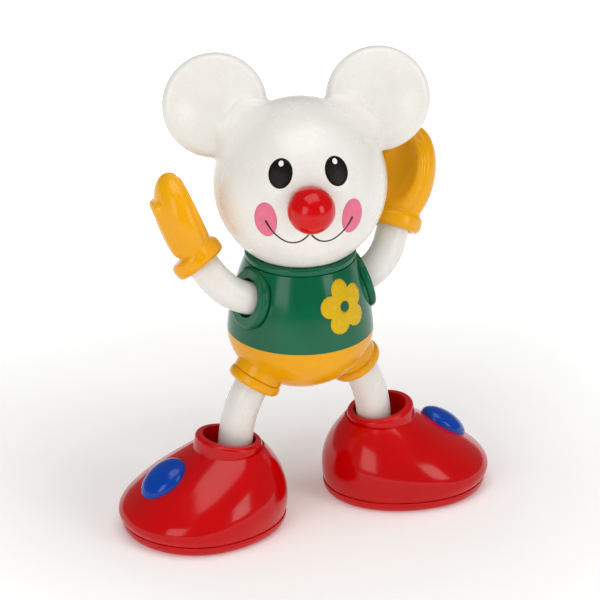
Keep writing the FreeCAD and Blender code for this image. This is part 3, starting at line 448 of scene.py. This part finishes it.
# directions from the skull's middle, in degrees
EYE_AZIMUTH, EYE_HEIGHT = 21.4, 28.4
GLINT_AZIMUTH, GLINT_HEIGHT = EYE_AZIMUTH + 0.4, 34.8
CHEEK_AZIMUTH, CHEEK_HEIGHT = 29.9, -4.2
for side, sign in SIDES.items():
    print_patch(
        "eye_" + side, on_head_surface, oval(4.6, 5.75), "head", "print_black", BLACK_INK,
        azimuth=sign * EYE_AZIMUTH, height=EYE_HEIGHT,
    )
    print_patch(
        "eye_glint_" + side, on_head_surface, oval(1.15, 1.35), "head", "print_white", WHITE_INK,
        lift=0.16, rings=3, around=32, azimuth=sign * GLINT_AZIMUTH, height=GLINT_HEIGHT,
    )
    print_patch(
        "cheek_" + side, on_head_surface, oval(4.6, 7.1), "head", "print_pink", PINK_INK,
        azimuth=sign * CHEEK_AZIMUTH, height=CHEEK_HEIGHT,
    )


def petals(angle):
    """Five round petals, the first a little past the top."""
    reach, size, first, apart = 6.3, 4.1, 99.6, 72
    off = math.radians((math.degrees(angle) - first + apart / 2) % apart - apart / 2)
    return reach * math.cos(off) + math.sqrt(size ** 2 - (reach * math.sin(off)) ** 2)


print_patch(
    "flower", on_shirt_surface, petals, "torso", "print_yellow", FLOWER_INK,
    hole=2.05, around=200, azimuth=16.6, height=88.6,
)

# mouth: a thin line in two scoops, thicker where it ends on the cheeks
# each knot is its azimuth and height in degrees and half the line's width in millimetres
THIN = 0.33
MOUTH = [
    (CHEEK_AZIMUTH, CHEEK_HEIGHT, 0.75), (27.8, -8.0, 0.62), (24.8, -12.6, 0.36),
    (20.5, -17.0, THIN), (15.5, -19.9, THIN), (10.5, -20.3, THIN),
    (6.0, -18.6, THIN), (2.8, -15.8, THIN), (0.6, -12.8, THIN),
]
# the line's section: share of its half width, and lift above the skin
SECTION = ((-1, -0.2), (-1, 0.05), (-0.5, 0.13), (0, 0.15), (0.5, 0.13), (1, 0.05), (1, -0.2))
STATIONS, SMOOTHINGS, END_TAPER = 57, 12, 0.35
for side, sign in SIDES.items():
    knots = np.array(MOUTH)
    stations = np.linspace(0, len(knots) - 1, STATIONS)
    fine = np.stack(
        [np.interp(stations, np.arange(len(knots)), knots[:, i]) for i in range(3)], -1
    )
    for _ in range(SMOOTHINGS):
        fine[1:-1] = (fine[:-2] + 2 * fine[1:-1] + fine[2:]) / 4
    centre = [on_head_surface(0, 0, 0, sign * a, e) for a, e, _ in fine]
    skull = head_place.translation
    points, faces = [], []
    for i, spot in enumerate(centre):
        ahead = (centre[min(i + 1, len(centre) - 1)] - centre[max(i - 1, 0)]).normalized()
        out = (spot - skull).normalized()
        across = ahead.cross(out).normalized()
        width = fine[i][2] * (END_TAPER if i in (0, len(centre) - 1) else 1)
        for share, lift in SECTION:
            way = (spot + across * width * share - skull).normalized()
            points.append(tuple(skull + way * (HEAD_RADIUS + lift)))
    wide = len(SECTION)
    for i in range(len(centre) - 1):
        for j in range(wide):
            k = (j + 1) % wide
            faces.append((i * wide + j, i * wide + k, (i + 1) * wide + k, (i + 1) * wide + j))
    faces.append(tuple(range(wide)))
    faces.append(tuple(range(len(points) - 1, len(points) - 1 - wide, -1)))
    mouth = mesh_piece("mouth_" + side, points, faces, BROWN_INK)
    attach(mouth, "head")


# ---------------------------------------------------------------- gloves
# each hand's outward lean, backward lean and turn of the palm to the front in degrees,
# and half its length in millimetres
HANDS = {"left": (20, 13, 35, 19.6), "right": (15, 16, 15, 18.6)}
MITT_HALF_THICK, MITT_HALF_WIDE, MITT_SUNK = 8.8, 11.8, 3.5
ROLL_RADIUS, ROLL_HALF, ROLL_MIDDLE, ROLL_ROUNDING = 7.0, 3.2, -0.7, 2.2
DARTS = (-4.6, 0.0, 4.6)
DART_FOOT, DART_TIP, DART_RADIUS = (-6.2, 5.0), (-7.6, 23.4), 1.6
BORE_RADIUS, POCKET_RADIUS, POCKET_DEPTH = 6.6, 4.2, 5.0
GLOVE_STEP, GLOVE_MARGIN = 0.6, 4
joints = {joint["name"]: joint for joint in frame["joints"]}
for side, sign in SIDES.items():
    wrist = joints[side + "_wrist"]
    base = Vector(wrist["pos_m"]) / MM
    outward, backward, turn = (math.radians(angle) for angle in HANDS[side][:3])
    half = HANDS[side][3]
    along = Vector((sign * math.tan(outward), math.tan(backward), 1))
    palm = Vector((-sign * math.cos(turn), -math.sin(turn), 0))
    hand = facing(base, along, palm)
    cuff = facing(base, wrist["axis"], (0, -1, 0.2))

    def glove_field(p):
        """A mitten with a hollow palm and three darts on its back, on a rolled cuff."""
        q = local(p, hand)
        w = local(p, cuff)
        middle = np.array([0, 0, half - MITT_SUNK])
        mitt = ellipsoid(q - middle, (MITT_HALF_THICK, MITT_HALF_WIDE, half))
        seam = np.hypot(mitt, q[..., 0] - 4.2) - 0.45
        hollow = ellipsoid(q - np.array([10.4, 0, 19.0]), (7.4, 8.7, 14.0))
        mitt = without(mitt, hollow, 2.2)
        mitt = without(mitt, seam, 0.7)
        for offset in DARTS:
            foot, tip = (np.array([x, offset, z]) for x, z in (DART_FOOT, DART_TIP))
            mitt = blend_of(mitt, capsule(q, foot, tip, DART_RADIUS), 2.2)
        mitt = both(mitt, -(w[..., 2] + 2.6), 1.5)
        hoop = w - np.array([0, 0, ROLL_MIDDLE])
        roll = ring_field(hoop, ROLL_RADIUS, ROLL_HALF, ROLL_HALF, ROLL_ROUNDING)
        solid = blend_of(mitt, roll, 1.6)
        across = np.hypot(w[..., 0], w[..., 1])
        bore = np.maximum(across - BORE_RADIUS, w[..., 2])
        pocket = np.maximum(across - POCKET_RADIUS, w[..., 2] - POCKET_DEPTH)
        return without(solid, np.minimum(bore, pocket), 0.8)

    low = np.array(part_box("glove_" + side)[0]) / MM - GLOVE_MARGIN
    high = np.array(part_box("glove_" + side)[1]) / MM + GLOVE_MARGIN
    glove = sculpt("mitten_" + side, glove_field, low, high, GLOVE_STEP, YELLOW)
    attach(glove, side + "_hand")
    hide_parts("glove_" + side)


# ---------------------------------------------------------------- floor, light, camera
TABLE_REACH = 7.0  # metres each way
GLOW_NEAR, GLOW_FAR = 0.22, 0.75  # painted glow: the table's emission under the toy and away from it, which also lights the toy
GLOW_START, GLOW_STOP = 0.08, 0.34  # metres from the toy between which it grows


def floor():
    """A wide pale table with a painted glow: it emits light though it is no lamp, more away from the toy, so that
    it is white all round.
    """
    sides = (-TABLE_REACH, TABLE_REACH)
    points = [(x, y, 0.0) for y in sides for x in sides]
    mat, tree, shader, where = node_material("painted_glow_table")
    cloud = remap(tree, noise(tree, where, 180, 3), 0, 1)
    shade = mixed(tree, cloud, linear("F2F2F2"), linear("EDEDEC"))
    tree.links.new(shade, shader.inputs["Base Color"])
    shader.inputs["Roughness"].default_value = 0.85
    # painted glow: the table emits white light, weakest under the toy and growing away from it
    shader.inputs["Emission Color"].default_value = (1, 1, 1, 1)
    away = tree.nodes.new("ShaderNodeVectorMath")
    away.operation = "LENGTH"
    tree.links.new(where, away.inputs[0])
    glow = remap(tree, away.outputs["Value"], GLOW_NEAR, GLOW_FAR, GLOW_START, GLOW_STOP)
    tree.links.new(glow, shader.inputs["Emission Strength"])
    table = mesh_piece("floor", np.array(points) / MM, [(0, 1, 3, 2)], mat)


def softbox(name, place, aim, width, height, power):
    """A white rectangular lamp: places and sizes in metres, power in watts."""
    lamp = bpy.data.lights.new(name, "AREA")
    lamp.shape = "RECTANGLE"
    lamp.size, lamp.size_y, lamp.energy = width, height, power
    obj = bpy.data.objects.new(name, lamp)
    obj.location = place
    obj.rotation_euler = (Vector(aim) - Vector(place)).to_track_quat("-Z", "Y").to_euler()
    bpy.context.scene.collection.objects.link(obj)


floor()
softbox("top_box", (0.0, -0.1, 0.9), (0, 0, 0.08), 0.8, 0.6, 3.9)
softbox("left_box", (-0.85, -0.55, 0.45), (0, 0, 0.09), 0.45, 0.6, 2.5)
softbox("right_box", (0.55, -0.95, 0.5), (0, 0, 0.09), 0.4, 0.55, 2.6)
WORLD_STRENGTH = 0.22
world = bpy.data.worlds.new("studio")
world.use_nodes = True
sky = world.node_tree.nodes["Background"]
sky.inputs[0].default_value = (1, 1, 1, 1)
sky.inputs[1].default_value = WORLD_STRENGTH
bpy.context.scene.world = world
bpy.context.scene.view_settings.view_transform = "Standard"

AIM = Vector((0.0001, 0.0005, 0.0825))
AZIMUTH, ELEVATION, DISTANCE = math.radians(-25), math.radians(24.5), 2.0
LENS, SENSOR = 320.8, 36
level = math.cos(ELEVATION)
toward = Vector((math.sin(AZIMUTH) * level, -math.cos(AZIMUTH) * level, math.sin(ELEVATION)))
camera = bpy.data.objects.new("camera", bpy.data.cameras.new("camera"))
camera.data.lens, camera.data.sensor_width = LENS, SENSOR
camera.data.clip_start, camera.data.clip_end = 0.05, 20
camera.location = AIM + toward * DISTANCE
camera.rotation_euler = (-toward).to_track_quat("-Z", "Y").to_euler()
bpy.context.scene.collection.objects.link(camera)
bpy.context.scene.camera = camera
